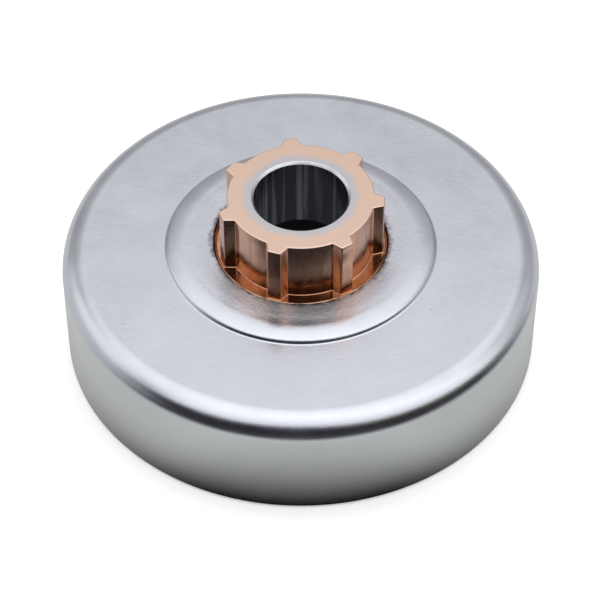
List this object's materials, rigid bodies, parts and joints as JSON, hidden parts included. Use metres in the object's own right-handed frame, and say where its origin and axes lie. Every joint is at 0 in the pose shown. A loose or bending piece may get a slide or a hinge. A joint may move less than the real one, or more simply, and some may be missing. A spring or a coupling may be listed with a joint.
{
  "type": "chainsaw clutch drum",
  "caption": "Round steel clutch drum of a chainsaw, open below, with a splined hub and a through bore brazed into its raised middle.",
  "frame": {"origin": "on the drum's axis, in the plane of the open rim that it stands on", "axes": "+Z along the bore, from the open rim towards the splined end of the hub; -Y is the side that the picture shows in front; one spline lies 5.5 degrees clockwise of +X, seen from above"},
  "size_m": [0.0724, 0.0724, 0.0284],
  "materials": {
    "drum_steel": "satin bare steel with a fine grain",
    "hub_coppered_steel": "steel with a glossy copper film from the brazing",
    "braze_copper": "bare copper filler"
  },
  "bodies": {
    "root": {"drum_cup": "drum_steel", "splined_hub": "hub_coppered_steel", "braze_ring": "braze_copper"}
  },
  "joints": []
}
